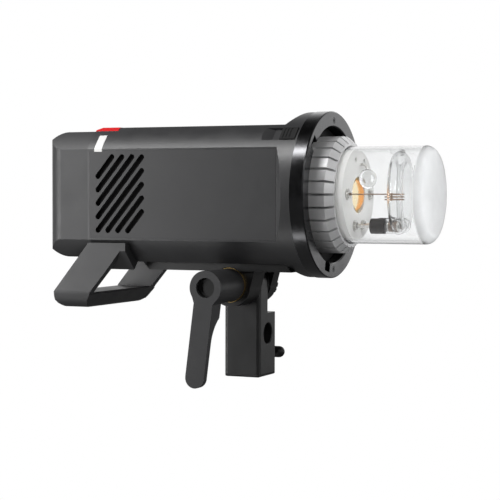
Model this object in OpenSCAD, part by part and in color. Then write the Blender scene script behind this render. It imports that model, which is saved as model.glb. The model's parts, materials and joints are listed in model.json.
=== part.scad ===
// Battery monolight strobe on a tilting stand bracket.
// The head lies along X, its lamp towards +X. The origin is the mouth of the stand socket.

/* [Housing] */
// Width and height across the flats of the housing
body_w = 103; // [90:0.5:120]
// Length of the main housing, from the mount ring back to the control cap
shell_len = 172; // [150:1:200]
// Length of the control cap
cap_len = 37.5; // [30:0.5:45]
// Height across the flats of the control cap
cap_h = 97.2; // [90:0.1:103]
// Corner radius at the rear of the control cap
cap_round = 14; // [6:0.5:18]
// Housing wall thickness
wall = 2.6; // [2:0.1:4]

/* [Mount ring] */
// Outer diameter of the accessory mount ring
ring_d = 125; // [120:0.5:130]
// Depth of the mount ring
ring_len = 10.5; // [8:0.5:14]
// Opening of the mount ring
ring_bore = 102.2; // [98:0.1:106]
// Outer diameter over the three lug notches
notch_d = 116.8; // [110:0.1:118]

/* [Lamp] */
// Outer diameter of the finned lamp housing
fin_d = 87.4; // [80:0.1:92]
// Number of cooling fins
fin_count = 28; // [20:1:36]
// How far the lamp housing stands in front of the ring face
fin_out = 14.5; // [10:0.5:20]
// Outer diameter of the glass dome
dome_d = 72.4; // [66:0.2:74]
// How far the dome stands in front of the ring face
dome_out = 78.5; // [60:0.5:90]
// Diameter of the flash tube ring, measured on the tube's centre line
tube_ring_d = 51; // [40:1:54]
// Outside diameter of the flash tube
tube_d = 11; // [8:0.5:12]

/* [Bracket] */
// Height of the optical axis above the stand socket mouth
axis_z = 140; // [130:1:160]
// Height of the tilt axis above the stand socket mouth
pivot_z = 72; // [66:1:80]
// Distance from the tilt axis forward to the ring face
head_x = 72; // [60:1:90]
// Sideways offset of the head from the stand socket
head_y = -8.5; // [-12:0.5:0]
// Length of the bracket block along the head
block_x = 30; // [26:1:36]
// Width of the bracket block
block_y = 32; // [28:1:38]
// Height of the bracket block
block_z = 49; // [44:1:56]
// Diameter of the stand sockets
socket_d = 16.2; // [16:0.1:16.6]
// Depth of the upright stand socket
socket_depth = 22; // [18:1:24]

/* [Cover] */
// Angle of the cooling slots
slot_angle = 50; // [30:1:70]
// Width of each cooling slot
slot_w = 4.3; // [2:0.1:5]

/* [Display] */
// Sub-part to show

/* [Hidden] */
$fn = 72;
half = body_w / 2;
shell_x = -ring_len - shell_len;
cap_x = shell_x - cap_len;
body_r = ring_d / 2 - 0.4;
flat = sqrt(body_r * body_r - half * half);
face = (half + flat) / sqrt(2);
in_w = body_w - 2 * wall;
pz = pivot_z - axis_z;
near_lug = 29;
lock_z = 15.5;
fan_x = -154;
bay_x = -90;
key_z = [-4, -15, -26];
notches = [17, 137, 257];
vent_x0 = -173.3;
vent_x1 = -135.5;
vent_z0 = -27.4;
vent_z1 = 28.4;
base_face = 20;
tube_x = 53;
tube_z = 1.2;
tube_skew = 8;
leg_y = tube_ring_d / 2 * sin(20) * cos(tube_skew);
leg_z = tube_z - tube_ring_d / 2 * cos(20);
post_y = 24.6;
seal_x = 33.5;
leg_x = 44.5;

module head() {
    translate([head_x, head_y, axis_z]) children();
}

// 2D shapes: x runs along Y and y along Z when swept by along_x
module along_x(x0, len) {
    translate([x0, 0, 0]) rotate([90, 0, 90]) linear_extrude(len) children();
}

// 2D shapes: x runs along X and y along Z when swept by along_y
module along_y(y0, len) {
    translate([0, y0 + len, 0]) rotate([90, 0, 0]) linear_extrude(len) children();
}

module xcyl(r, x0, len, y = 0, z = 0) {
    translate([x0, y, z]) rotate([0, 90, 0]) cylinder(h = len, r = r);
}

module ycyl(r, y0, len, x = 0, z = 0) {
    translate([x, y0, z]) rotate([-90, 0, 0]) cylinder(h = len, r = r);
}

module box(a, b) {
    translate(a) cube([b[0] - a[0], b[1] - a[1], b[2] - a[2]]);
}

module spin_x(x0) {
    translate([x0, 0, 0]) rotate([90, 0, 90]) rotate_extrude() children();
}

// Octagon with 45 degree chamfers
// A rectangle whose corners are rounded about its centre
module section(w, h, r) {
    intersection() {
        square([w, h], center = true);
        circle(r);
    }
}

module oct(w, h, c) {
    a = w / 2;
    b = h / 2;
    polygon([[a - c, b], [a, b - c], [a, c - b], [a - c, -b],
        [c - a, -b], [-a, c - b], [-a, b - c], [c - a, b]]);
}

module round_rect(x, y, r) {
    square([x - 2 * r, y], center = true);
    square([x, y - 2 * r], center = true);
    for (i = [-1, 1], j = [-1, 1]) translate([i * (x / 2 - r), j * (y / 2 - r)]) circle(r);
}

module capsule(a, b, w) {
    d = b - a;
    translate(a) circle(w / 2);
    translate(b) circle(w / 2);
    translate(a) rotate(atan2(d[1], d[0])) translate([0, -w / 2]) square([norm(d), w]);
}

// Local frame of the upper near chamfer: z is outward, y runs up the chamfer
module upper_chamfer() {
    rotate([45, 0, 0]) children();
}

// Local frame of a lower chamfer on side s: z is outward
module lower_chamfer(s) {
    rotate([s < 0 ? 135 : -135, 0, 0]) children();
}

// ---------- bracket ----------

module bracket_block() color([0.13, 0.13, 0.14]) {
    difference() {
        intersection() {
            union() {
                box([-block_x / 2 - 1, -block_y / 2 - 1, 0], [block_x / 2 + 1, block_y / 2 + 1, block_z]);
                along_y(-block_y / 2 - 1, 16) {
                    translate([-block_x / 2 - 1, block_z - 12]) square([block_x + 2, pivot_z - block_z + 12]);
                    translate([0, pivot_z]) circle(block_x / 2);
                }
            }
            linear_extrude(200) round_rect(block_x, block_y, 3);
            along_y(-block_y, 2 * block_y) translate([0, 100]) round_rect(block_x, 200, 2.5);
            along_x(-block_x, 2 * block_x) translate([0, 100]) round_rect(block_y, 200, 2.5);
        }
        translate([0, 0, -1]) cylinder(h = socket_depth + 1, d = socket_d);
        xcyl(socket_d / 2, -block_x, 2 * block_x, 0, 33);
        for (m = [0, 1]) mirror([m, 0, 0]) translate([block_x / 2 - 0.59, 0, 33]) rotate([0, 90, 0])
            cylinder(h = 0.6, r1 = socket_d / 2, r2 = socket_d / 2 + 0.6);
        ycyl(4.9, 0, block_y, 0, lock_z);
        ycyl(5.08, -block_y, block_y, 0, pivot_z);
    }
}

module lock_shoe() color([0.72, 0.6, 0.3]) {
    ycyl(4.6, 8.4, 4.1, 0, lock_z);
}

module lock_handle() color([0.1, 0.1, 0.1]) {
    difference() {
        union() {
            ycyl(4.6, 12.6, 13, 0, lock_z);
            ycyl(7.5, 20, 14, 0, lock_z);
            xcyl(4.5, -10, 20, 34, lock_z);
            for (i = [-1, 1]) translate([10 * i, 34, lock_z]) sphere(4.5);
        }
        ycyl(2.4, 36, 4, 0, lock_z);
    }
}

// ---------- housing ----------

module body() {
    intersection() {
        xcyl(body_r, shell_x, -ring_len - shell_x);
        flanks(0);
        flanks(90);
    }
}

module flanks(a) {
    rotate([a, 0, 0]) along_y(-80, 160) polygon([[shell_x - 1, -half], [-25, -half], [-17, -half - 10.9],
        [-9, -half - 10.9], [-9, half + 10.9], [-17, half + 10.9], [-25, half], [shell_x - 1, half]]);
}

module vent_slots(w) {
    t = tan(slot_angle);
    for (k = [0:7]) {
        z = vent_z1 - 14.5 - 10.3 * k;
        a = z >= vent_z0 ? [vent_x0, z] : [vent_x0 + (vent_z0 - z) / t, vent_z0];
        ze = z + (vent_x1 - vent_x0) * t;
        b = ze <= vent_z1 ? [vent_x1, ze] : [vent_x0 + (vent_z1 - z) / t, vent_z1];
        capsule(a, b, w);
    }
}

module status_band(g) {
    intersection() {
        along_x(-176.4 - g, 6.5 + 2 * g) difference() {
            section(body_w + 0.3, body_w + 0.3, body_r + 0.15);
            section(body_w - 2.4 - 2 * g, body_w - 2.4 - 2 * g, body_r - 1.2 - g);
        }
        box([-180, -60, 32.6 - g], [-166, -38, 45.3 + g]);
    }
}

module sensor_band(g) {
    intersection() {
        along_x(shell_x + 0.1 - 2 * g, 19.5 + 3 * g) difference() {
            section(body_w + 0.5, body_w + 0.5, body_r + 0.25);
            section(body_w - 3 - 2 * g, body_w - 3 - 2 * g, body_r - 1.5 - g);
        }
        box([shell_x - 2, -38.2 - g, 40], [-160, 38.2 + g, 60]);
    }
}

module main_shell() color([0.2, 0.2, 0.21]) head() difference() {
    body();
    along_x(shell_x - 1, -15.5 - shell_x + 1) section(in_w, in_w, body_r - 3.2);
    xcyl(46, -17, 8);
    box([-180.5, -half - 1, -33.5], [-25.5, -half + 1.25, 33.5]);
    box([-176, -half, -31], [-132, -half + 4, 31.6]);
    for (i = [0:4]) along_y(half - 4, 8)
        capsule([-175 + 6 * i, -24], [-175 + 6 * i, 24], 3.4);
    box([bay_x - 52, half - 4, -30.2], [bay_x + 52, half + 1, 30.2]);
    sensor_band(0.1);
    status_band(0.1);
    upper_chamfer() {
        along_y(-5.6, 13.1) polygon([[-40, body_r + 0.2], [-31.3, body_r - 2.4], [-12.1, body_r - 2.4],
            [-12.1, body_r + 4], [-40, body_r + 4]]);
        box([-24.9, -1.3, body_r - 8], [-15.6, 3.3, body_r - 1]);
    }
    upper_chamfer() xcyl(2.15, -17, 8, 1, 54.5);
    for (a = [30:60:330]) rotate([a, 0, 0]) xcyl(1.55, -17, 8, 55.6, 0);
    for (s = [-1, 1], x = [-174, -155]) lower_chamfer(s) translate([x, 2 * s, 50])
        cylinder(h = 20, r = 1.8);
    for (s = [-1, 1], x = [-132, -38]) translate([x, 24 * s, -half - 1]) cylinder(h = 8, r = 1.8);
}

module cap_body(g) {
    w = body_w - 2 * g;
    h = cap_h - 2 * g;
    x0 = cap_x + g;
    r = cap_round - g;
    x1 = shell_x + (g > 0 ? 1 : 0);
    intersection() {
        along_x(x0, x1 - x0) section(w, h, body_r - g);
        along_y(-80, 160) rear_round(x0, x1, h, r);
        rotate([90, 0, 0]) along_y(-80, 160) rear_round(x0, x1, w, r);
    }
}

module rear_round(x0, x1, w, r) {
    translate([x0 + r, -w / 2]) square([x1 - x0 - r, w]);
    translate([x0, -w / 2 + r]) square([r + 1, w - 2 * r]);
    for (s = [-1, 1]) translate([x0 + r, s * (w / 2 - r)]) circle(r);
}

module key_holes() {
    for (s = [-1, 1], z = key_z)
        box([cap_x - 1, 24 * s - 6.3, z - 3.8], [cap_x + 5, 24 * s + 6.3, z + 3.8]);
    xcyl(3.9, cap_x - 1, 6, -31, 24);
    box([cap_x - 1, -33.8, 4.7], [cap_x + 5, -28.2, 14.3]);
    xcyl(3.3, cap_x - 1, 6, 0, -16);
}

module rear_cap() color([0.17, 0.17, 0.18]) head() difference() {
    cap_body(0);
    difference() {
        cap_body(2.9);
        box([-206, 44, -14], [-184, 60, 14]);
    }
    along_x(cap_x - 1, 2) oct(73.2, 67.2, 8.1);
    box([cap_x, -23, 7], [cap_x + 5, 23, 29]);
    key_holes();
    box([-204.1, half - 2, -12.1], [-185.9, half + 1, 12.1]);
    box([-202.1, 43, -10.1], [-187.9, half, 10.1]);
}

module mount_ring() color([0.33, 0.33, 0.34]) head() difference() {
    spin_x(-ring_len) polygon([[ring_bore / 2, 0], [ring_d / 2, 0], [ring_d / 2, ring_len - 0.8],
        [ring_d / 2 - 0.8, ring_len], [ring_bore / 2 + 0.8, ring_len], [ring_bore / 2, ring_len - 0.8]]);
    for (a = notches) rotate([a, 0, 0]) box([-6, 48, -5], [1, notch_d / 2, 5]);
    for (a = notches) rotate([a - 35, 0, 0]) translate([-ring_len + 1, 0, 0]) rotate([90, 0, 90])
        rotate_extrude(angle = 41) translate([48, 0]) square([notch_d / 2 - 48.4, 6]);
    for (a = [30:60:330]) rotate([a, 0, 0]) {
        xcyl(1.6, -ring_len - 1, 14, 55.6, 0);
        xcyl(2.5, -1.4, 3, 55.6, 0);
    }
    upper_chamfer() xcyl(2.15, -ring_len - 1, 4, 1, 54.5);
}

module ring_screws() color([0.5, 0.5, 0.52]) head() {
    for (a = [30:60:330]) rotate([a, 0, 0]) difference() {
        union() {
            xcyl(1.5, -15.3, 14.5, 55.6, 0);
            xcyl(2.4, -1.35, 1.25, 55.6, 0);
        }
        translate([-0.6, 55.6, 0]) rotate([0, 90, 0]) cylinder(h = 2, r = 1.1, $fn = 6);
    }
}

module front_plate() color([0.12, 0.12, 0.13]) head() difference() {
    xcyl(50.8, -ring_len, 2);
    xcyl(14, -ring_len - 1, 4);
}

module side_panel() color([0.16, 0.16, 0.17]) head() {
    along_y(-half, 1.2) difference() {
        translate([-180.4, -33.4]) square([154.8, 66.8]);
        vent_slots(slot_w);
        translate([-176.6, 32.4]) square([6.9, 2]);
    }
}

module dust_mesh() color([0.05, 0.05, 0.05]) head() {
    box([-178.5, -48.85, -32.4], [-129.5, -48.05, 32.4]);
}

module sensor_window() color([0.6, 0.04, 0.05]) head() difference() {
    sensor_band(0);
    along_y(-60, 120) polygon([[shell_x - 1, half - 2.1], [shell_x - 1, half + 2], [-176.5, half + 2],
        [-177.8, half + 0.3]]);
}

module status_window() color([0.9, 0.9, 0.88]) head() status_band(0);

// ---------- lamp ----------

module lamp_housing() color([0.62, 0.62, 0.63]) head() difference() {
    spin_x(-8.5) polygon([[15, 0], [fin_d / 2, 0], [fin_d / 2, fin_out + 3],
        [fin_d / 2 - 4.7, fin_out + 8.5], [36.7, fin_out + 8.5], [36.7, 3], [15, 3]]);
    for (i = [0:fin_count - 1]) rotate([i * 360 / fin_count, 0, 0])
        box([-6, fin_d / 2 - 5.6, -0.9], [fin_out + 9, fin_d / 2 + 1, 0.9]);
}

module lamp_base() color([0.93, 0.93, 0.92]) head() difference() {
    xcyl(33.8, -5.5, base_face + 5.5);
    for (s = [-1, 1]) {
        xcyl(2, -6, 28, leg_y * s, leg_z);
        xcyl(1.3, -6, 28, post_y * s, 0.4);
    }
    for (y = [-6, 12]) xcyl(1.8, base_face - 11, 13, y, 25.9);
    xcyl(13.7, base_face - 4, 5);
}

module eyelet(y, z, hole) {
    difference() {
        union() {
            xcyl(4.1, base_face, 1, y, z);
            xcyl(3, base_face, 2.2, y, z);
        }
        xcyl(hole, base_face - 1, 5, y, z);
    }
}

module base_terminals() color([0.7, 0.7, 0.7]) head() {
    for (s = [-1, 1]) {
        eyelet(leg_y * s, leg_z, 2);
        eyelet(post_y * s, 0.4, 1.3);
    }
}

module led_chip() color([0.95, 0.72, 0.3]) head() xcyl(10.8, base_face - 3.9, 1.6);

module led_lens() color([0.9, 0.9, 0.9, 0.4]) head() {
    spin_x(base_face - 3.95) difference() {
        intersection() {
            translate([0, -12.3]) circle(19.5);
            square([13.5, 12]);
        }
        square([11.1, 2]);
    }
}

// The flash tube's ring, turned a little about Z
module tube_ring(r, r2) {
    translate([tube_x, 0, tube_z]) rotate([0, 0, tube_skew]) {
        rotate([90, 0, 90]) rotate([0, 0, -70]) rotate_extrude(angle = 320)
            translate([tube_ring_d / 2, 0]) circle(r);
        for (s = [-1, 1])
            translate([0, s * tube_ring_d / 2 * sin(20), -tube_ring_d / 2 * cos(20)]) sphere(r2);
    }
    for (s = [-1, 1]) xcyl(r, leg_x, tube_x - s * 1.2 - leg_x, s * leg_y, leg_z);
}

module flash_tube() color([0.9, 0.92, 0.92, 0.4]) head() difference() {
    tube_ring(tube_d / 2, tube_d / 2 + 0.5);
    difference() {
        tube_ring(tube_d / 2 - 1.2, tube_d / 2 - 0.9);
        box([leg_x - 2, -20, -40], [leg_x + 0.8, 20, -10]);
    }
    for (s = [-1, 1]) xcyl(1.55, leg_x - 1, 3, leg_y * s, leg_z);
}

module tube_seals() color([0.12, 0.1, 0.09]) head() {
    for (s = [-1, 1]) difference() {
        xcyl(5.6, seal_x, leg_x - seal_x, leg_y * s, leg_z);
        xcyl(1.55, seal_x - 1, leg_x - seal_x + 2, leg_y * s, leg_z);
    }
}

module tube_pins() color([0.6, 0.57, 0.5]) head() {
    for (s = [-1, 1]) {
        xcyl(1.5, 0, leg_x + 2, leg_y * s, leg_z);
        difference() {
            xcyl(3.4, leg_x + 1.9, 7.5, leg_y * s, leg_z);
            xcyl(1.6, leg_x + 6, 5, leg_y * s, leg_z);
        }
    }
}

module trigger_wire() color([0.5, 0.4, 0.33]) head() {
    near_x = tube_x + tube_ring_d / 2 * sin(tube_skew);
    near_y = -tube_ring_d / 2 * cos(tube_skew);
    coil_r = tube_d / 2 + 1.2;
    wire_t = 0.9;
    tie_t = 1.4;
    x1 = base_face + 3.5;
    xcyl(0.9, 8, x1 - 8, -post_y, 0.4);
    translate([x1 - 1, -post_y, 0.4]) rotate([0, 90, 0])
        cylinder(h = near_x - coil_r - x1 + 1, r = wire_t / 2);
    // Three turns round the tube, joined by a tie on their outer side
    for (z = [-3.4, -1.5, 0.4]) translate([near_x, near_y, z]) rotate_extrude()
        translate([coil_r - wire_t / 2, -wire_t / 2]) square(wire_t);
    translate([near_x - tie_t / 2, near_y - coil_r - tie_t / 2, -4.2]) cube([tie_t, tie_t, 5.4]);
}

module glass_dome() color([0.95, 0.96, 0.97, 0.3]) head() {
    r = dome_d / 2;
    l = dome_out + 4.5;
    spin_x(-4.5) difference() {
        union() {
            square([r, l - 6]);
            square([r - 6, l]);
            translate([r - 6, l - 6]) circle(6);
        }
        union() {
            translate([-1, -1]) square([r - 1, l - 5]);
            translate([-1, -1]) square([r - 5, l - 1]);
            translate([r - 6, l - 6]) circle(4);
        }
        translate([-r, -r]) square([r, 6 * r]);
    }
}

module release_slider() color([0.05, 0.05, 0.05]) head() upper_chamfer() {
    difference() {
        box([-24.6, -5.2, body_r - 2.2], [-12.6, 7.1, body_r + 0.4]);
        for (x = [-22, -19.5, -17]) box([x - 0.5, -4, body_r], [x + 0.5, 6, body_r + 2]);
    }
    box([-18.2, -0.9, 53.5], [-16, 2.9, body_r - 2.1]);
    xcyl(1.8, -18, 14, 1, 54.5);
}

// ---------- keel, tilt joint and handle ----------

module lug(y0, len) {
    along_y(y0, len) translate([-head_x, pz]) {
        circle(16.5);
        polygon([[-20, 10.6], [20, 10.6], [15, -7], [-15, -7]]);
    }
}

module keel_plate() color([0.11, 0.11, 0.12]) head() difference() {
    union() {
        along_y(-32, 64) polygon([[-141.5, -half], [-25.4, -half], [-21, -half - 6], [-139, -half - 6],
            [-141.5, -half - 3.5]]);
        lug(-near_lug, near_lug - 7.8);
        lug(10.3, 11.7);
    }
    box([-head_x - 21, -7.9, -half - 7], [-head_x + 21, 7.9, -half + 1]);
    box([-head_x - 16.2, 7, -half - 7], [-head_x + 16.2, 10.3, -half + 1]);
    ycyl(5.05, -40, 80, -head_x, pz);
    ycyl(14.8, 22, 12, -head_x, pz);
    ycyl(13.6, -34, 34 - near_lug, -head_x, pz);
    for (s = [-1, 1], x = [-132, -38]) {
        translate([x, 24 * s, -half - 7]) cylinder(h = 8, r = 1.8);
        translate([x, 24 * s, -half - 6.01]) cylinder(h = 3, r = 3.6);
    }
}

module keel_screws() color([0.4, 0.4, 0.42]) head() {
    for (s = [-1, 1], x = [-132, -38]) difference() {
        union() {
            translate([x, 24 * s, -half - 5.8]) cylinder(h = 2.6, r = 3.4);
            translate([x, 24 * s, -half - 4]) cylinder(h = 9.5, r = 1.7);
        }
        translate([x, 24 * s, -half - 7]) cylinder(h = 2.6, r = 1.5, $fn = 6);
    }
}

module friction_disc() color([0.45, 0.45, 0.46]) head() difference() {
    ycyl(15.6, 7.75, 2.5, -head_x, pz);
    ycyl(5.1, 7, 4, -head_x, pz);
}

module tilt_bolt() color([0.1, 0.1, 0.1]) head() {
    difference() {
        ycyl(14.4, 22, 8, -head_x, pz);
        for (i = [0:17]) translate([-head_x, 0, pz]) rotate([0, 20 * i, 0]) ycyl(1.1, 24, 7, 14.9, 0);
        ycyl(9, 28.8, 2, -head_x, pz);
    }
    ycyl(5, -57.5, 79.6, -head_x, pz);
}

module lever_nut() color([0.78, 0.62, 0.28]) head() difference() {
    union() {
        ycyl(13.1, -31, 1.9, -head_x, pz);
        ycyl(8, -60.5, 30, -head_x, pz);
    }
    ycyl(5.08, -57.9, 30, -head_x, pz);
    ycyl(3.5, -62, 5, -head_x, pz);
}

module lever_screw() color([0.16, 0.16, 0.17]) head() {
    ycyl(3.45, -67, 8.6, -head_x, pz);
    difference() {
        ycyl(6.9, -69.6, 2.7, -head_x, pz);
        ycyl(4.6, -70, 0.8, -head_x, pz);
    }
}

module tilt_lever() color([0.3, 0.3, 0.31]) head() translate([-head_x, 0, pz]) difference() {
    union() {
        ycyl(12.6, -72.5, 41.2);
        intersection() {
            along_y(-72.5, 20) {
                polygon([[-11.2, -5], [-9.3, -11.2], [-16.1, -65.2], [-1.1, -66.5],
                    [5.8, -12.3], [11, -6], [0, 0]]);
                translate([-8.6, -66.4]) circle(7.5);
            }
            rotate([0, 0, 90]) along_y(-60, 120) difference() {
                translate([-72.5, -80]) square([15, 80]);
                translate([-45, -41]) circle(22);
                translate([-67, -81]) square([12, 40]);
            }
        }
    }
    ycyl(8.3, -60.6, 31);
    ycyl(3.8, -64, 5);
    ycyl(7.3, -74, 11.8);
}

module handle_leg() {
    polygon([[-180, -37], [-148, -37], [-162.5, -55.5], [-179, -75], [-186, -87.5], [-207, -87.5],
        [-211.5, -82], [-211, -75]]);
}

module carry_handle() color([0.15, 0.15, 0.16]) head() intersection() {
    union() {
        for (s = [-1, 1]) difference() {
            union() {
                along_y(s < 0 ? -54.5 : 47.5, 7) handle_leg();
                difference() {
                    lower_chamfer(s) box([-181, -12.5, face - 1], [-148, 12.5, face + 8]);
                    box([-190, -70, -37], [-140, 70, 0]);
                    box([-190, -80, -70], [-140, -54.5, 0]);
                    box([-190, 54.5, -70], [-140, 80, 0]);
                }
            }
            xcyl(body_r + 0.05, -195, 60);
            for (x = [-174, -155]) lower_chamfer(s) translate([x, 2 * s, 58])
                cylinder(h = 8.4, r = 1.8);
        }
        along_y(-54.5, 109) polygon([[-211, -77], [-209, -75.5], [-181, -75.5], [-179.5, -77],
            [-186, -86], [-188, -87.5], [-207, -87.5], [-210.5, -84]]);
    }
    along_x(-215, 80) {
        translate([-54.5, -74]) square([109, 50]);
        translate([-40.5, -87.5]) square([81, 20]);
        for (s = [-1, 1]) translate([s * 40.5, -73.5]) circle(14);
    }
}

module handle_screws() color([0.4, 0.4, 0.42]) head() {
    for (s = [-1, 1], x = [-174, -155]) lower_chamfer(s) translate([x, 2 * s, 0]) difference() {
        union() {
            translate([0, 0, 55.7]) cylinder(h = 2.8, r = 3.2);
            translate([0, 0, 58.4]) cylinder(h = 7.8, r = 1.7);
        }
        translate([0, 0, 55]) cylinder(h = 2, r = 1.5, $fn = 6);
    }
}

// ---------- cooling ----------

module fan_frame() color([0.08, 0.08, 0.08]) head() translate([fan_x, 0, 0]) {
    difference() {
        along_y(-47.9, 14.9) difference() {
            round_rect(56, 56, 3);
            circle(26);
        }
        for (i = [-1, 1], j = [-1, 1]) ycyl(1.7, -50, 20, 24 * i, 24 * j);
    }
    difference() {
        union() {
            ycyl(10.5, -35, 2);
            for (a = [45:90:315]) rotate([0, a, 0]) box([9, -35, -2], [26.6, -33, 2]);
        }
        ycyl(1.5, -36, 4);
    }
}

module fan_rotor() color([0.1, 0.1, 0.1]) head() translate([fan_x, 0, 0]) {
    ycyl(10, -46.5, 10.5);
    ycyl(1.35, -36.2, 2.6);
    for (i = [0:6]) rotate([0, i * 360 / 7, 0]) translate([9, -41.3, 0]) rotate([38, 0, 0])
        translate([0, -0.6, -6]) cube([15.6, 1.2, 12]);
}

module heat_sink() color([0.6, 0.6, 0.62]) head() difference() {
    box([-178, -30, -25], [-130, -6, 25]);
    for (i = [0:8]) box([-179, -31, -22.6 + 5.2 * i], [-129, -10, -19 + 5.2 * i]);
}

module capacitor_bank() color([0.1, 0.12, 0.18]) head() {
    for (y = [-33, -4.5], z = [-28, 0, 28]) difference() {
        xcyl(13.5, -120.3, 84.3, y, z);
        translate([-120.3, y, z]) rotate([90, 0, 90]) rotate_extrude() translate([13.9, 78]) circle(0.9);
    }
}

module capacitor_board() color([0.1, 0.35, 0.18]) head() along_x(-122, 1.6) intersection() {
    oct(96.6, 96.6, 15.6);
    translate([-49, -49]) square([58, 98]);
}

// ---------- battery ----------

module battery_bay() color([0.1, 0.1, 0.11]) head() difference() {
    box([bay_x - 53.4, 12.4, -31.6], [bay_x + 53.4, half - wall - 0.05, 31.6]);
    box([bay_x - 52, 13.8, -30.2], [bay_x + 52, half, 30.2]);
}

module bay_contacts() color([0.8, 0.65, 0.3]) head() {
    for (i = [0:3]) box([bay_x - 46 + 8 * i, 13.8, -5], [bay_x - 41 + 8 * i, 14.05, 5]);
}

module battery_pack() color([0.14, 0.14, 0.15]) head() difference() {
    union() {
        box([bay_x - 51.6, 14.6, -29.8], [bay_x + 51.6, half + 1, 29.8]);
        along_y(half + 0.15, 3) translate([bay_x, 0]) round_rect(113, 66.4, 5);
    }
    translate([bay_x, 0, 0]) {
        box([27.8, half, -9.3], [47.2, half + 4, 9.3]);
        ycyl(4.8, half - 1, 6, -34);
        for (i = [0:3]) ycyl(1.4, half + 1.4, 6, -24 + 5 * i);
        for (i = [0:4]) box([-20 + 9 * i - 0.8, half + 2.2, -26], [-20 + 9 * i + 0.8, half + 4, -16]);
    }
    for (i = [0:3]) box([bay_x - 46.1 + 8 * i, 14, -5.1], [bay_x - 40.9 + 8 * i, 15.6, 5.1]);
}

module pack_contacts() color([0.8, 0.65, 0.3]) head() {
    for (i = [0:3]) box([bay_x - 46 + 8 * i, 14.3, -5], [bay_x - 41 + 8 * i, 15.55, 5]);
}

module battery_latch() color([0.07, 0.07, 0.07]) head() difference() {
    box([bay_x + 28.1, half + 0.3, -9], [bay_x + 42, half + 4.2, 9]);
    for (i = [0:4]) box([bay_x + 30 + 2.4 * i, half + 3.6, -7], [bay_x + 31 + 2.4 * i, half + 5, 7]);
}

module charge_button() color([0.3, 0.3, 0.31]) head() ycyl(4.5, half + 0.4, 3.6, bay_x - 34);

module charge_lights() color([0.3, 0.8, 0.35]) head() {
    for (i = [0:3]) ycyl(1.35, half + 1.4, 1.8, bay_x - 24 + 5 * i);
}

// ---------- control panel ----------

module panel_fascia() color([0.07, 0.07, 0.08]) head() difference() {
    along_x(cap_x, 0.95) oct(73, 67, 8);
    box([cap_x - 1, -25.1, 4.9], [cap_x + 3, 25.1, 31.1]);
    key_holes();
}

module lcd_window() color([0.2, 0.28, 0.3]) head() box([cap_x, -25, 5], [cap_x + 0.95, 25, 31]);

module lcd_module() color([0.55, 0.62, 0.55]) head()
    box([cap_x + 1.1, -22.8, 7.2], [cap_x + 7.5, 22.8, 28.8]);

module control_dial() color([0.2, 0.2, 0.21]) head() translate([cap_x, 0, -16]) difference() {
    union() {
        xcyl(12, -6.4, 6.1);
        xcyl(3.1, -2.5, 9.4);
    }
    for (i = [0:23]) rotate([15 * i, 0, 0]) xcyl(0.8, -7, 5.4, 12.3, 0);
    xcyl(5.3, -7, 4.6);
}

module dial_button() color([0.5, 0.5, 0.51]) head() xcyl(5, cap_x - 6.9, 3.6, 0, -16);

module key(s, z) {
    head() {
        box([cap_x - 1.1, 24 * s - 6, z - 3.5], [cap_x + 3.1, 24 * s + 6, z + 3.5]);
        box([cap_x + 3, 24 * s - 7, z - 4.5], [cap_x + 4, 24 * s + 7, z + 4.5]);
    }
}

module mode_key() color([0.35, 0.35, 0.36]) key(1, key_z[0]);

module group_key() color([0.35, 0.35, 0.36]) key(1, key_z[1]);

module sync_key() color([0.35, 0.35, 0.36]) key(1, key_z[2]);

module lamp_key() color([0.35, 0.35, 0.36]) key(-1, key_z[0]);

module beep_key() color([0.35, 0.35, 0.36]) key(-1, key_z[1]);

module link_key() color([0.35, 0.35, 0.36]) key(-1, key_z[2]);

module test_button() color([0.6, 0.1, 0.08]) head() {
    xcyl(3.6, cap_x - 1.1, 4.2, -31, 24);
    xcyl(4.6, cap_x + 3, 1, -31, 24);
}

module power_switch() color([0.1, 0.1, 0.1]) head() {
    box([cap_x - 1.6, -33.5, 5], [cap_x + 3.1, -28.5, 10]);
    box([cap_x + 3, -35, 3.6], [cap_x + 4, -27, 11.4]);
}

module port_flap() color([0.09, 0.09, 0.09]) head() difference() {
    box([-204, half - 1.8, -12], [-186, half, 12]);
    box([-199, half - 0.6, 9], [-191, half + 1, 13]);
}

module jack_block() color([0.3, 0.3, 0.3]) head() difference() {
    box([-202, 43, -10], [-188, half - 2.1, 10]);
    ycyl(1.8, 45, 10, -195, -5);
    box([-199, 45, 1], [-191, 55, 4]);
}

module control_board() color([0.1, 0.35, 0.18]) head() along_x(cap_x + 8, 1.6) oct(90, 84, 12);

bracket_block();
lock_shoe();
lock_handle();
main_shell();
rear_cap();
mount_ring();
ring_screws();
front_plate();
lamp_housing();
lamp_base();
base_terminals();
led_chip();
led_lens();
flash_tube();
tube_seals();
tube_pins();
trigger_wire();
glass_dome();
release_slider();
keel_plate();
keel_screws();
friction_disc();
tilt_bolt();
lever_nut();
lever_screw();
tilt_lever();
carry_handle();
handle_screws();
side_panel();
dust_mesh();
fan_frame();
fan_rotor();
sensor_window();
status_window();
battery_bay();
bay_contacts();
battery_pack();
pack_contacts();
battery_latch();
charge_button();
charge_lights();
panel_fascia();
lcd_window();
lcd_module();
control_dial();
dial_button();
mode_key();
group_key();
sync_key();
lamp_key();
beep_key();
link_key();
test_button();
power_switch();
port_flap();
jack_block();
control_board();
capacitor_bank();
capacitor_board();
heat_sink();
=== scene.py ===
"""Battery monolight strobe on its tilting stand bracket: materials, trim, light and camera."""
import json
import math

import bpy
from mathutils import Matrix, Vector


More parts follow.
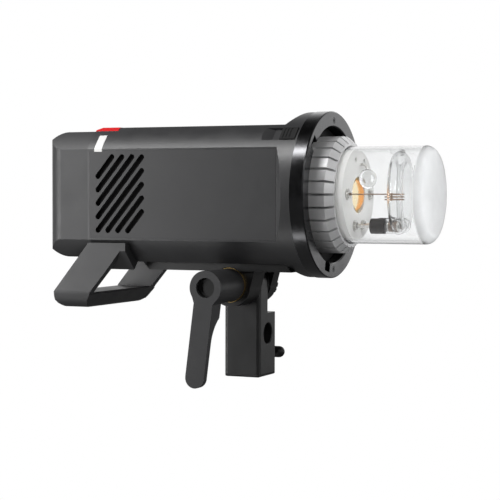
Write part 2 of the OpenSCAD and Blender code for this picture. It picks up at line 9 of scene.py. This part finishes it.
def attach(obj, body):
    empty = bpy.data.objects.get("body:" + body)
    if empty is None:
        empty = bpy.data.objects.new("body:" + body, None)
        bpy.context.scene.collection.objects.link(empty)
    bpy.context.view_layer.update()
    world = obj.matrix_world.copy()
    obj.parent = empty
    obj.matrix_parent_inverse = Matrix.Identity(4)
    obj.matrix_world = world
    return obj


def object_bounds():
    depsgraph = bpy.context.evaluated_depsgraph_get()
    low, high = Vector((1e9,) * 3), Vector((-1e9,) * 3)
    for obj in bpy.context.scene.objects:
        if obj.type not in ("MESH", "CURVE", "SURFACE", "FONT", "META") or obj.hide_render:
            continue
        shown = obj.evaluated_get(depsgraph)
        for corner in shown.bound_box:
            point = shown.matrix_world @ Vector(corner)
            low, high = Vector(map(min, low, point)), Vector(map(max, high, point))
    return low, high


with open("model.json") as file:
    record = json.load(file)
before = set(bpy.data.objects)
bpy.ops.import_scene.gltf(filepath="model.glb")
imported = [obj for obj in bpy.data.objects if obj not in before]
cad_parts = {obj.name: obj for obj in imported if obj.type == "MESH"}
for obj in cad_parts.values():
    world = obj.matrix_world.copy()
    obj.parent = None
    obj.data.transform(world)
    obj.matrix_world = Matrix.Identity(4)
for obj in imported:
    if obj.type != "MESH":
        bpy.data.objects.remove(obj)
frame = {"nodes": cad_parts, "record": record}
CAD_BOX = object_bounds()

NODES = frame["nodes"]
MM = 0.001

# The middle of the mount ring's front face, in the part frame
RING_AT = next(m["pos_m"] for m in frame["record"]["mounts"] if m["name"] == "accessory_ring")
HEAD_AT = Vector(RING_AT)


# ---------- geometry helpers ----------

# Faces within FLAT_ANGLE are merged, and edges past SHARP_ANGLE are rounded
FLAT_ANGLE = math.radians(0.6)
SHARP_ANGLE = math.radians(30)


def soften(node, width):
    """Rounds a node's sharp edges by width metres, for the highlight a moulded or machined edge has."""
    flat = NODES[node].modifiers.new("merge_flats", "DECIMATE")
    flat.decimate_type = "DISSOLVE"
    flat.angle_limit = FLAT_ANGLE
    b = NODES[node].modifiers.new("edge_round", "BEVEL")
    b.width = width
    b.segments = 2
    b.limit_method = "ANGLE"
    b.angle_limit = SHARP_ANGLE
    b.use_clamp_overlap = True
    b.harden_normals = True


def new_mesh(name, verts, faces, smooth=True):
    me = bpy.data.meshes.new(name)
    me.from_pydata([tuple(v) for v in verts], [], faces)
    me.update()
    if smooth:
        me.shade_smooth()
    o = bpy.data.objects.new(name, me)
    bpy.context.collection.objects.link(o)
    return o


def tube(name, points, radius, sides=12):
    """A wire through the points, as a bevelled curve."""
    cu = bpy.data.curves.new(name, "CURVE")
    cu.dimensions = "3D"
    cu.bevel_depth = radius
    cu.bevel_resolution = max(1, sides // 4)
    cu.resolution_u = 8
    cu.use_fill_caps = True
    sp = cu.splines.new("NURBS")
    sp.points.add(len(points) - 1)
    for p, q in zip(sp.points, points):
        p.co = (q[0], q[1], q[2], 1)
    sp.order_u = 3
    sp.use_endpoint_u = True
    o = bpy.data.objects.new(name, cu)
    bpy.context.collection.objects.link(o)
    return o


# ---------- material helpers ----------

def tree(name):
    m = bpy.data.materials.new(name)
    m.use_nodes = True
    nt = m.node_tree
    nt.nodes.clear()
    out = nt.nodes.new("ShaderNodeOutputMaterial")
    return m, nt, out


def link(nt, a, b):
    nt.links.new(a, b)


def coords(nt):
    """Part-frame coordinates in metres: every node sits at the origin."""
    return nt.nodes.new("ShaderNodeTexCoord").outputs["Object"]


def noise(nt, vec, scale, detail=3.0, rough=0.5, stretch=None):
    n = nt.nodes.new("ShaderNodeTexNoise")
    n.inputs["Scale"].default_value = scale
    n.inputs["Detail"].default_value = detail
    n.inputs["Roughness"].default_value = rough
    if stretch:
        mp = nt.nodes.new("ShaderNodeMapping")
        mp.inputs["Scale"].default_value = stretch
        link(nt, vec, mp.inputs["Vector"])
        vec = mp.outputs["Vector"]
    link(nt, vec, n.inputs["Vector"])
    return n.outputs["Fac"]


def ramp(nt, fac, stops):
    r = nt.nodes.new("ShaderNodeValToRGB")
    el = r.color_ramp.elements
    while len(el) < len(stops):
        el.new(0.5)
    for e, (pos, col) in zip(el, stops):
        e.position = pos
        e.color = (*col, 1)
    link(nt, fac, r.inputs["Fac"])
    return r.outputs["Color"]


def remap(nt, fac, lo, hi, a=0.3, b=0.7):
    r = nt.nodes.new("ShaderNodeMapRange")
    r.inputs["From Min"].default_value = a
    r.inputs["From Max"].default_value = b
    r.inputs["To Min"].default_value = lo
    r.inputs["To Max"].default_value = hi
    link(nt, fac, r.inputs["Value"])
    return r.outputs["Result"]


def bump(nt, height, distance, strength=1.0, normal=None):
    b = nt.nodes.new("ShaderNodeBump")
    b.inputs["Strength"].default_value = strength
    b.inputs["Distance"].default_value = distance
    link(nt, height, b.inputs["Height"])
    if normal is not None:
        link(nt, normal, b.inputs["Normal"])
    return b.outputs["Normal"]


# How wide the lines of brushed metal are, and how deep
BRUSH_MM = 0.9
BRUSH_DEPTH = 0.02 * MM


def surface(name, base, rough, metal=0.0, spec=0.5, grain=0.0, grain_mm=0.5, vary=0.12, rough_vary=0.05,
            patch_mm=30.0, coat=0.0, brushed=None):
    """A grained surface. grain is the bump's height in mm, vary the share that the colour drifts by,
    brushed the stretch of the texture for turned or brushed metal."""
    m, nt, out = tree(name)
    p = nt.nodes.new("ShaderNodeBsdfPrincipled")
    p.inputs["Metallic"].default_value = metal
    p.inputs["Specular IOR Level"].default_value = spec
    p.inputs["Coat Weight"].default_value = coat
    p.inputs["Coat Roughness"].default_value = 0.1
    vec = coords(nt)
    patch = noise(nt, vec, 1000.0 / patch_mm, 4.0, 0.6)
    dark = tuple(c * (1 - vary) for c in base)
    light = tuple(min(1.0, c * (1 + vary)) for c in base)
    link(nt, ramp(nt, patch, [(0.3, dark), (0.7, light)]), p.inputs["Base Color"])
    smear = noise(nt, vec, 1000.0 / (patch_mm * 0.6), 5.0, 0.65)
    smooth, coarse = max(0.02, rough - rough_vary), min(1.0, rough + rough_vary)
    link(nt, remap(nt, smear, smooth, coarse), p.inputs["Roughness"])
    normal = None
    if grain > 0:
        fine = noise(nt, vec, 1000.0 / grain_mm, 2.0, 0.55)
        normal = bump(nt, fine, grain * MM, 1.0)
    if brushed:
        lines = noise(nt, vec, 1000.0 / BRUSH_MM, 2.0, 0.6, brushed)
        normal = bump(nt, lines, BRUSH_DEPTH, 0.8, normal)
    if normal is not None:
        link(nt, normal, p.inputs["Normal"])
    link(nt, p.outputs["BSDF"], out.inputs["Surface"])
    return m


# The ripple and haze of the glass, and the milky part: it comes in over MILK_STEP metres
WAVE_DEPTH = 0.04 * MM
HAZE_MM = 9.0
MILK_STEP = 0.0015
MILK_DARK, MILK_LIGHT = (0.75, 0.755, 0.76), (0.81, 0.815, 0.82)


def glass(name, tint, edge, ior=1.45, wave_mm=14.0, milky_from=None):
    """Glass that lets lamp light through to what it shuts in. edge is the tint where the wall is seen
    edge-on. milky_from is the X, in metres, past which the glass turns milky."""
    m, nt, out = tree(name)
    p = nt.nodes.new("ShaderNodeBsdfPrincipled")
    p.inputs["IOR"].default_value = ior
    p.inputs["Specular IOR Level"].default_value = 0.15
    vec = coords(nt)
    wave = noise(nt, vec, 1000.0 / wave_mm, 1.0, 0.4)
    link(nt, bump(nt, wave, WAVE_DEPTH, 0.4), p.inputs["Normal"])
    facing = nt.nodes.new("ShaderNodeLayerWeight")
    facing.inputs["Blend"].default_value = 0.3
    colour = ramp(nt, facing.outputs["Facing"], [(0.0, tint), (0.42, tint), (0.8, edge)])
    p.inputs["Transmission Weight"].default_value = 1.0
    haze = noise(nt, vec, 1000.0 / HAZE_MM, 3.0, 0.5)
    if milky_from is None:
        link(nt, colour, p.inputs["Base Color"])
        link(nt, remap(nt, haze, 0.0, 0.03), p.inputs["Roughness"])
    else:
        sep = nt.nodes.new("ShaderNodeSeparateXYZ")
        link(nt, vec, sep.inputs[0])
        milk = remap(nt, sep.outputs["X"], 0.0, 1.0, milky_from, milky_from + MILK_STEP)
        blend = nt.nodes.new("ShaderNodeMix")
        blend.data_type = "RGBA"
        link(nt, milk, blend.inputs[0])
        link(nt, colour, blend.inputs[6])
        link(nt, ramp(nt, haze, [(0.3, MILK_DARK), (0.7, MILK_LIGHT)]), blend.inputs[7])
        link(nt, blend.outputs[2], p.inputs["Base Color"])
        link(nt, remap(nt, milk, 0.02, 0.6, 0.0, 1.0), p.inputs["Roughness"])
        link(nt, remap(nt, milk, 1.0, 0.72, 0.0, 1.0), p.inputs["Transmission Weight"])
    clear = nt.nodes.new("ShaderNodeBsdfTransparent")
    clear.inputs["Color"].default_value = (*tint, 1)
    path = nt.nodes.new("ShaderNodeLightPath")
    mix = nt.nodes.new("ShaderNodeMixShader")
    link(nt, path.outputs["Is Shadow Ray"], mix.inputs[0])
    link(nt, p.outputs["BSDF"], mix.inputs[1])
    link(nt, clear.outputs["BSDF"], mix.inputs[2])
    link(nt, mix.outputs["Shader"], out.inputs["Surface"])
    return m


# ---------- materials ----------

# How far in front of the mount ring's face the dome turns milky
MILK_OUT = 0.0725

MATS = {
    "housing": surface("housing_paint", (0.018, 0.018, 0.019), 0.38, spec=0.5, grain=0.012, grain_mm=0.45),
    "panel": surface("cover_film", (0.016, 0.016, 0.017), 0.5, spec=0.4, grain=0.008, grain_mm=0.3,
                     vary=0.08),
    "cap": surface("cap_plastic", (0.018, 0.018, 0.019), 0.5, spec=0.4, grain=0.015, grain_mm=0.5),
    "ring": surface("ring_metal", (0.058, 0.058, 0.060), 0.22, metal=1.0, grain=0.004, grain_mm=0.3),
    "screw": surface("screw_black", (0.012, 0.012, 0.013), 0.4, grain=0.01),
    "front": surface("front_black", (0.002, 0.002, 0.002), 0.6, spec=0.15, grain=0.01),
    "fin": surface("fin_metal", (0.66, 0.66, 0.665), 0.4, metal=0.3, grain=0.01, grain_mm=0.35, vary=0.06),
    "sink": surface("sink_metal", (0.5, 0.5, 0.5), 0.4, metal=1.0, brushed=(1, 6, 1)),
    "ceramic": surface("ceramic_white", (0.60, 0.595, 0.58), 0.6, spec=0.2, grain=0.01, grain_mm=0.8,
                       vary=0.03),
    "terminal": surface("terminal_steel", (0.55, 0.54, 0.52), 0.28, metal=1.0),
    "phosphor": surface("led_phosphor", (0.80, 0.40, 0.07), 0.6, spec=0.1, grain=0.01, grain_mm=0.25,
                        vary=0.05),
    "seal": surface("seal_dark", (0.006, 0.004, 0.003), 0.4, spec=0.12, vary=0.35, patch_mm=5),
    "trigger": surface("trigger_nickel", (0.20, 0.14, 0.10), 0.3, metal=1.0, vary=0.2, patch_mm=5),
    "lever": surface("lever_grey", (0.022, 0.022, 0.023), 0.48, spec=0.3, grain=0.02, grain_mm=0.5),
    "bracket": surface("bracket_paint", (0.006, 0.006, 0.0063), 0.42, spec=0.35, grain=0.015, grain_mm=0.5),
    "grip": surface("grip_black", (0.003, 0.003, 0.003), 0.5, spec=0.25, grain=0.02, grain_mm=0.5),
    "brass": surface("brass", (0.62, 0.44, 0.18), 0.32, metal=1.0, brushed=(6, 1, 6)),
    "handle": surface("handle_plastic", (0.020, 0.020, 0.021), 0.5, spec=0.45, grain=0.02, grain_mm=0.55),
    "mesh": surface("mesh_black", (0.004, 0.004, 0.004), 0.8, spec=0.1, grain=0.05, grain_mm=1.2),
    "fan": surface("fan_plastic", (0.01, 0.01, 0.01), 0.45, grain=0.01),
    "bay": surface("bay_plastic", (0.014, 0.014, 0.014), 0.55, grain=0.015),
    "gold": surface("contact_gold", (0.80, 0.58, 0.24), 0.25, metal=1.0, brushed=(1, 5, 1)),
    "pack": surface("pack_plastic", (0.022, 0.022, 0.023), 0.48, grain=0.015, grain_mm=0.5),
    "light": surface("charge_light", (0.20, 0.55, 0.25), 0.25, coat=0.6, vary=0.05),
    "key": surface("key_grey", (0.055, 0.055, 0.057), 0.5, grain=0.012, grain_mm=0.4),
    "fascia": surface("fascia_gloss", (0.009, 0.009, 0.01), 0.18, coat=0.5, vary=0.1),
    "lcd": surface("lcd_glass", (0.05, 0.065, 0.07), 0.12, coat=0.7, vary=0.05),
    "lcd_back": surface("lcd_back", (0.3, 0.38, 0.33), 0.4),
    "dial": surface("dial_plastic", (0.02, 0.02, 0.021), 0.45, grain=0.012),
    "test": surface("test_red", (0.4, 0.025, 0.02), 0.25, coat=0.5, vary=0.05),
    "rubber": surface("flap_rubber", (0.013, 0.013, 0.013), 0.7, spec=0.3, grain=0.03, grain_mm=0.5),
    "jack": surface("jack_grey", (0.05, 0.05, 0.05), 0.4),
    "board": surface("board_green", (0.02, 0.13, 0.05), 0.35, vary=0.3, patch_mm=5),
    "can": surface("can_sleeve", (0.01, 0.014, 0.03), 0.25, coat=0.4),
    "red": surface("red_clear", (0.50, 0.014, 0.016), 0.18, coat=0.8, vary=0.06),
    "white": surface("white_clear", (0.55, 0.55, 0.54), 0.3, coat=0.4, vary=0.02),
    "dome": glass("dome_glass", (0.975, 0.98, 0.983), (0.22, 0.23, 0.235),
                  milky_from=RING_AT[0] + MILK_OUT),
    "tube": glass("tube_glass", (0.93, 0.935, 0.935), (0.05, 0.05, 0.052), wave_mm=9.0),
    "lens": glass("led_clear", (0.99, 0.86, 0.58), (0.55, 0.45, 0.28), ior=1.12),
    "bead": glass("bead_clear", (0.97, 0.975, 0.98), (0.16, 0.165, 0.17), ior=1.4),
}

LOOK = {
    "bracket_block": "bracket", "lock_shoe": "brass", "lock_handle": "grip", "main_shell": "housing",
    "rear_cap": "cap", "mount_ring": "ring", "ring_screws": "screw", "front_plate": "front",
    "lamp_housing": "fin", "lamp_base": "ceramic", "base_terminals": "terminal", "led_chip": "phosphor",
    "led_lens": "lens", "flash_tube": "tube", "tube_seals": "seal", "tube_pins": "terminal",
    "trigger_wire": "trigger", "glass_dome": "dome", "release_slider": "grip", "keel_plate": "bracket",
    "keel_screws": "screw", "friction_disc": "screw", "tilt_bolt": "grip", "lever_nut": "brass",
    "lever_screw": "grip", "tilt_lever": "lever", "carry_handle": "handle", "handle_screws": "screw",
    "side_panel": "panel", "dust_mesh": "mesh", "fan_frame": "fan", "fan_rotor": "fan",
    "sensor_window": "red", "status_window": "white", "battery_bay": "bay", "bay_contacts": "gold",
    "battery_pack": "pack", "pack_contacts": "gold", "battery_latch": "grip", "charge_button": "key",
    "charge_lights": "light", "panel_fascia": "fascia", "lcd_window": "lcd", "lcd_module": "lcd_back",
    "control_dial": "dial", "dial_button": "key", "mode_key": "key", "group_key": "key", "sync_key": "key",
    "lamp_key": "key", "beep_key": "key", "link_key": "key", "test_button": "test", "power_switch": "grip",
    "port_flap": "rubber", "jack_block": "jack", "control_board": "board", "capacitor_bank": "can",
    "capacitor_board": "board", "heat_sink": "sink",
}
for node, key in LOOK.items():
    o = NODES[node]
    if not o.material_slots:
        o.data.materials.append(None)
    for s in o.material_slots:
        s.link = "OBJECT"
        s.material = MATS[key]

ROUND = {
    "main_shell": 0.5, "rear_cap": 0.5, "mount_ring": 0.3, "bracket_block": 0.8, "keel_plate": 0.6,
    "tilt_lever": 0.9, "carry_handle": 1.2, "battery_pack": 0.5, "release_slider": 0.35, "tilt_bolt": 0.6,
    "lamp_housing": 0.25, "side_panel": 0.2, "lever_screw": 0.3, "lever_nut": 0.3, "control_dial": 0.3,
    "battery_latch": 0.4, "port_flap": 0.3, "dial_button": 0.4, "charge_button": 0.4, "lock_handle": 0.4,
    "mode_key": 0.3, "group_key": 0.3, "sync_key": 0.3, "lamp_key": 0.3, "beep_key": 0.3, "link_key": 0.3,
    "test_button": 0.3, "power_switch": 0.3, "lamp_base": 0.3, "panel_fascia": 0.15,
}
for node, r in ROUND.items():
    soften(node, r * MM)


# ---------- small lamp pieces ----------

def lamp(x, y, z):
    """A point given in millimetres from the middle of the mount ring's front face."""
    return HEAD_AT + Vector((x, y, z)) * MM


def finish(o, body, key):
    o.data.materials.clear()
    o.data.materials.append(MATS[key])
    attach(o, body)
    return o


def lathe(name, centre, axis, profile, sides=48):
    """Turns (distance along the axis, radius) pairs in mm about the axis through centre."""
    axis = Vector(axis).normalized()
    u = axis.orthogonal().normalized()
    v = axis.cross(u)
    verts, faces = [], []
    for d, r in profile:
        for k in range(sides):
            a = 2 * math.pi * k / sides
            verts.append(centre + axis * d * MM + (u * math.cos(a) + v * math.sin(a)) * r * MM)
    for i in range(len(profile) - 1):
        for k in range(sides):
            n = (k + 1) % sides
            faces.append((i * sides + k, i * sides + n, (i + 1) * sides + n, (i + 1) * sides + k))
    if profile[0][1] > 0:
        faces.append(tuple(reversed(range(sides))))
    if profile[-1][1] > 0:
        faces.append(tuple((len(profile) - 1) * sides + k for k in range(sides)))
    return new_mesh(name, verts, faces)


STEPS_A_TURN = 12


def helix(name, x0, x1, y, z, radius, turns, wire):
    """A wire wound about an axis along X, from x0 to x1. All lengths are in mm."""
    pts = []
    steps = int(turns * STEPS_A_TURN)
    for k in range(steps + 1):
        a = 2 * math.pi * k / STEPS_A_TURN
        pts.append(lamp(x0 + (x1 - x0) * k / steps, y + radius * math.cos(a), z + radius * math.sin(a)))
    return tube(name, pts, wire * MM, 8)


# The flash tube's ring: its middle and radius in lamp() millimetres, its turn about Z, and how far
# round from the bottom its two ends are. Its legs run along X at LEG_Y to either side and LEG_Z.
TUBE_X, TUBE_Z, TUBE_R = 53.0, 1.2, 25.5
SKEW = math.radians(8)
GAP_ANGLE = math.radians(20)
LEG_Y = TUBE_R * math.sin(GAP_ANGLE) * math.cos(SKEW)
LEG_Z = TUBE_Z - TUBE_R * math.cos(GAP_ANGLE)


def make_lamp_trim():
    # the wound electrode on each pin, shut in the tube's ends
    for side, y in (("near", -LEG_Y), ("far", LEG_Y)):
        coil = helix("electrode_coil_" + side, 47.2, 53.6, y, LEG_Z, 3.75, 7, 0.42)
        finish(coil, "flash_unit", "trigger")
    # the sealed-off filling stub on top of the tube
    top = lamp(TUBE_X, 0, TUBE_Z + TUBE_R)
    stub_outline = [(-7.5, 0.0), (-7.2, 1.3), (-6.2, 2.3), (-4.5, 2.9), (-1.5, 3.1), (1.5, 3.1), (4.0, 2.7),
                    (5.2, 1.7), (5.6, 0.0)]
    stub = lathe("filling_stub", top + Vector((-1.5, -1.5, 5.0)) * MM, (1, -0.35, -0.2), stub_outline)
    finish(stub, "flash_unit", "tube")
    # a clear light-sensor bead in a clip on the lamp's base
    bead_outline = [(-1.2, 0.0), (-1.1, 5.0), (0, 6.9), (0.8, 7.3), (1.6, 7.1), (2.4, 5.9), (2.2, 4.4),
                    (1.4, 3.6), (1.1, 0.0)]
    bead = lathe("sensor_bead", lamp(25.3, 4.1, 12.0), (1, -0.9, 0), bead_outline)
    finish(bead, "head", "bead")
    clip = [lamp(19.8, 4.8, 22.8), lamp(22.0, 4.6, 23.0), lamp(23.8, 4.4, 22.2), lamp(25.0, 4.2, 20.6),
            lamp(25.4, 4.1, 18.8)]
    finish(tube("sensor_clip", clip, 1.0 * MM), "head", "terminal")


make_lamp_trim()


# ---------- stage, light and camera ----------

FLOOR_DROP = 0.65
FLOOR_Z = CAD_BOX[0].z - FLOOR_DROP
FLOOR_HALF = 12.0
FLOOR_GLOW = 0.12
# The floor's share of plain white: FLOOR_WHITE within FLOOR_NEAR metres of the middle, and all of it
# past FLOOR_FAR
FLOOR_WHITE, FLOOR_NEAR, FLOOR_FAR = 0.75, 0.25, 0.9
# The dim room's light and the backdrop's
ROOM, BACKDROP = 0.03, 1.5


def seen_ray(nt):
    """1 for a ray from the camera or through glass, and 0 for any other."""
    path = nt.nodes.new("ShaderNodeLightPath")
    either = nt.nodes.new("ShaderNodeMath")
    either.operation = "MAXIMUM"
    link(nt, path.outputs["Is Camera Ray"], either.inputs[0])
    link(nt, path.outputs["Is Transmission Ray"], either.inputs[1])
    return either.outputs[0]


def make_floor():
    """Pale paper that takes a little light and shade in the middle and is plain white further out."""
    corners = [(x * FLOOR_HALF, y * FLOOR_HALF, FLOOR_Z) for x, y in ((-1, -1), (1, -1), (1, 1), (-1, 1))]
    o = new_mesh("studio_floor", corners, [(0, 1, 2, 3)], smooth=False)
    m, nt, out = tree("floor_paper")
    d = nt.nodes.new("ShaderNodeBsdfDiffuse")
    d.inputs["Color"].default_value = (0.8, 0.8, 0.8, 1)
    e = nt.nodes.new("ShaderNodeEmission")
    e.inputs["Color"].default_value = (1, 1, 1, 1)
    link(nt, remap(nt, seen_ray(nt), FLOOR_GLOW, 1.0, 0.0, 1.0), e.inputs["Strength"])
    vec = coords(nt)
    length = nt.nodes.new("ShaderNodeVectorMath")
    length.operation = "LENGTH"
    link(nt, vec, length.inputs[0])
    white = remap(nt, length.outputs["Value"], FLOOR_WHITE, 1.0, FLOOR_NEAR, FLOOR_FAR)
    mix = nt.nodes.new("ShaderNodeMixShader")
    link(nt, white, mix.inputs[0])
    link(nt, d.outputs["BSDF"], mix.inputs[1])
    link(nt, e.outputs["Emission"], mix.inputs[2])
    link(nt, mix.outputs["Shader"], out.inputs["Surface"])
    o.data.materials.append(m)


def make_world():
    """White to the eye and through glass. As a light it is a bright backdrop on the far side (+Y) of a
    dim room."""
    w = bpy.data.worlds.new("studio_world")
    bpy.context.scene.world = w
    w.use_nodes = True
    nt = w.node_tree
    nt.nodes.clear()
    out = nt.nodes.new("ShaderNodeOutputWorld")
    seen = nt.nodes.new("ShaderNodeBackground")
    seen.inputs["Color"].default_value = (1, 1, 1, 1)
    lit = nt.nodes.new("ShaderNodeBackground")
    way = nt.nodes.new("ShaderNodeTexCoord").outputs["Generated"]
    sep = nt.nodes.new("ShaderNodeSeparateXYZ")
    link(nt, way, sep.inputs[0])
    high = nt.nodes.new("ShaderNodeMath")
    high.operation = "ABSOLUTE"
    link(nt, sep.outputs["Z"], high.inputs[0])
    level = nt.nodes.new("ShaderNodeMath")
    level.operation = "MULTIPLY"
    link(nt, remap(nt, sep.outputs["Y"], 0.0, 1.0, 0.0, 0.5), level.inputs[0])
    link(nt, remap(nt, high.outputs[0], 1.0, 0.0, 0.45, 0.8), level.inputs[1])
    link(nt, remap(nt, level.outputs[0], ROOM, BACKDROP, 0.0, 1.0), lit.inputs["Strength"])
    by_eye = seen_ray(nt)
    mix = nt.nodes.new("ShaderNodeMixShader")
    link(nt, by_eye, mix.inputs[0])
    link(nt, lit.outputs[0], mix.inputs[1])
    link(nt, seen.outputs[0], mix.inputs[2])
    link(nt, mix.outputs[0], out.inputs["Surface"])


def softbox(name, centre, aim, length, width, power, along=(1, 0, 0)):
    """A soft rectangular light at centre, facing aim, its long side as near as may be to along."""
    ld = bpy.data.lights.new(name, "AREA")
    ld.shape = "RECTANGLE"
    ld.size, ld.size_y = length, width
    ld.energy = power
    o = bpy.data.objects.new(name, ld)
    bpy.context.collection.objects.link(o)
    o.visible_camera = False
    z = (Vector(centre) - Vector(aim)).normalized()
    y = z.cross(Vector(along)).normalized()
    o.matrix_world = Matrix.Translation(centre) @ Matrix((y.cross(z), y, z)).transposed().to_4x4()
    return o


def leave_out(light, node):
    """Leaves one node out of a light, so that the light draws no streak across it."""
    spared = bpy.data.collections.new(light.name + "_spares")
    spared.objects.link(NODES[node])
    light.light_linking.receiver_collection = spared
    spared.collection_objects[0].light_linking.link_state = "EXCLUDE"


make_floor()
make_world()
MIDDLE = (0.0, 0.0, 0.13)
leave_out(softbox("upper_strip", (-0.44, -0.49, 0.98), MIDDLE, 1.0, 0.16, 13), "glass_dome")
leave_out(softbox("lower_strip", (-0.36, -0.41, -0.48), MIDDLE, 0.9, 0.12, 1.5), "glass_dome")
softbox("side_front", (1.3, -0.1, 0.45), MIDDLE, 0.5, 0.8, 6, (0, 1, 0))
softbox("side_rear", (-0.68, -0.60, 0.18), (-0.19, -0.05, 0.13), 0.7, 0.12, 8, (0, 0, 1))
softbox("fill", (0.8, -1.05, 0.6), MIDDLE, 0.5, 0.5, 4)

# The camera looks along the photograph's view, level to within two degrees
CAM_AZIMUTH, CAM_ELEVATION, CAM_ROLL = math.radians(24.0), math.radians(1.92), math.radians(0.14)
CAM_DISTANCE, CAM_SIDE, CAM_RISE = 1.1251, -0.0627, -0.0415

cam_data = bpy.data.cameras.new("camera")
cam_data.sensor_width = 36.0
cam_data.lens = 108.0
cam = bpy.data.objects.new("camera", cam_data)
bpy.context.collection.objects.link(cam)
across = math.cos(CAM_ELEVATION)
back = Vector((math.sin(CAM_AZIMUTH) * across, -math.cos(CAM_AZIMUTH) * across, math.sin(CAM_ELEVATION)))
right = Vector((math.cos(CAM_AZIMUTH), math.sin(CAM_AZIMUTH), 0))
up = back.cross(right)
turn = Matrix((right, up, back)).transposed() @ Matrix.Rotation(CAM_ROLL, 3, "Z")
place = HEAD_AT + back * CAM_DISTANCE + right * CAM_SIDE + up * CAM_RISE
cam.matrix_world = Matrix.Translation(place) @ turn.to_4x4()
bpy.context.scene.camera = cam
bpy.context.scene.view_settings.view_transform = "Standard"
